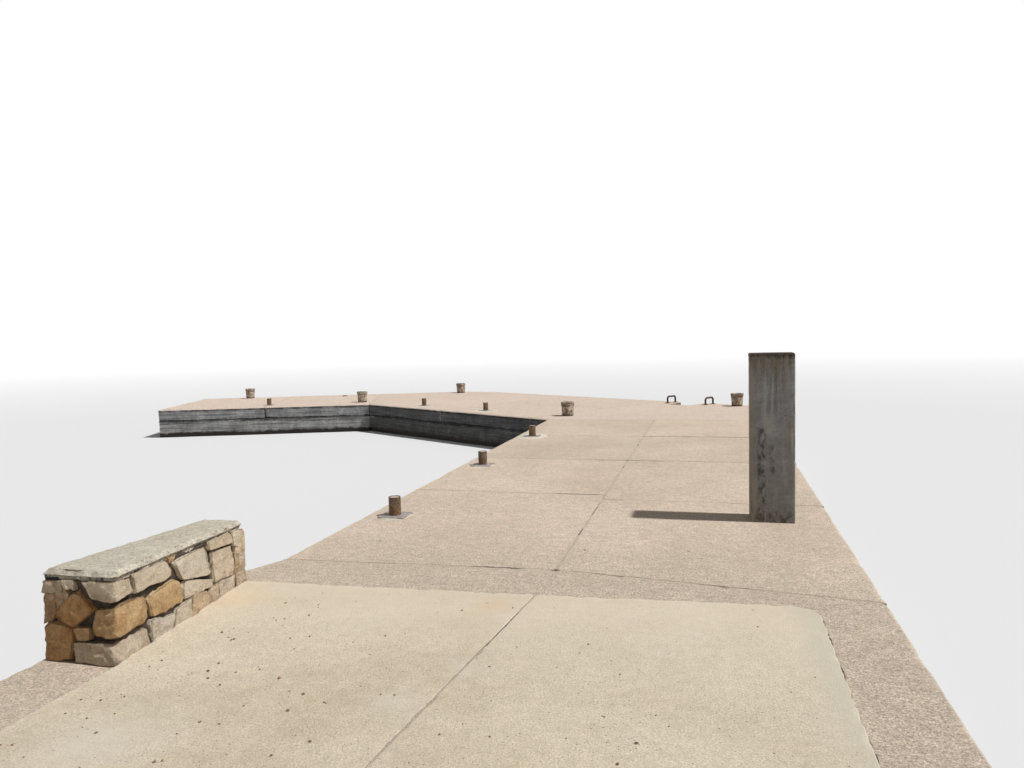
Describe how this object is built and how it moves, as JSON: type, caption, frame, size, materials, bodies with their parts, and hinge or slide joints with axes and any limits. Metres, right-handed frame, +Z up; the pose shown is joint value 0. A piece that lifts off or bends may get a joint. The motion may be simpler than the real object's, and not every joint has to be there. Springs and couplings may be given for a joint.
{
  "type": "concrete jetty",
  "caption": "Low concrete jetty that turns twice round a small basin, cast in slabs on a lower lift, with bollards, mooring posts and a tall square post.",
  "frame": {"origin": "On the main arm's centreline at the flat underside, where the first bay starts.", "axes": "+Z up, +Y out along the main arm away from the shore, +X to the seaward side; the basin lies towards -X."},
  "size_m": [15.2038, 19.8955, 2.07],
  "materials": {
    "deck_concrete": "matte",
    "topping_concrete": "matte",
    "wall_concrete": "matte",
    "post_concrete": "matte",
    "bollard_concrete": "matte",
    "limestone": "matte",
    "mortar": "matte",
    "rusty_steel": "matte"
  },
  "bodies": {
    "root": {"lower_lift_root": "wall_concrete", "lower_lift_arm_near": "wall_concrete", "lower_lift_arm_far": "wall_concrete", "lower_lift_elbow": "wall_concrete", "lower_lift_head": "wall_concrete", "lower_lift_corner": "wall_concrete", "lower_lift_outer_arm": "wall_concrete", "root_slab": "deck_concrete", "arm_slab_1_left": "deck_concrete", "arm_slab_1_right": "deck_concrete", "arm_slab_2_left": "deck_concrete", "arm_slab_2_right": "deck_concrete", "arm_slab_3_left": "deck_concrete", "arm_slab_3_right": "deck_concrete", "arm_slab_4_left": "deck_concrete", "arm_slab_4_right": "deck_concrete", "elbow_slab": "deck_concrete", "head_slab_1_inner": "deck_concrete", "head_slab_1_outer": "deck_concrete", "head_slab_2_inner": "deck_concrete", "head_slab_2_outer": "deck_concrete", "corner_slab": "deck_concrete", "outer_slab_1": "deck_concrete", "outer_slab_2": "deck_concrete", "topping_left": "topping_concrete", "topping_right": "topping_concrete", "parapet_rubble": "limestone", "parapet_coping": "mortar", "square_post": "post_concrete", "bollard_inner_corner": "bollard_concrete", "bollard_nose": "bollard_concrete", "bollard_basin_corner": "bollard_concrete", "bollard_outer_end": "bollard_concrete", "bollard_seaward": "bollard_concrete", "mooring_pipe_1": "rusty_steel", "mooring_pipe_2": "rusty_steel", "mooring_pipe_3": "rusty_steel", "mooring_pipe_4": "rusty_steel", "mooring_pipe_5": "rusty_steel", "mooring_pipe_6": "rusty_steel", "mooring_fills": "bollard_concrete", "mooring_plates": "rusty_steel", "boarding_steps": "wall_concrete", "boarding_hoops": "rusty_steel", "deck_ring": "rusty_steel"}
  },
  "joints": []
}
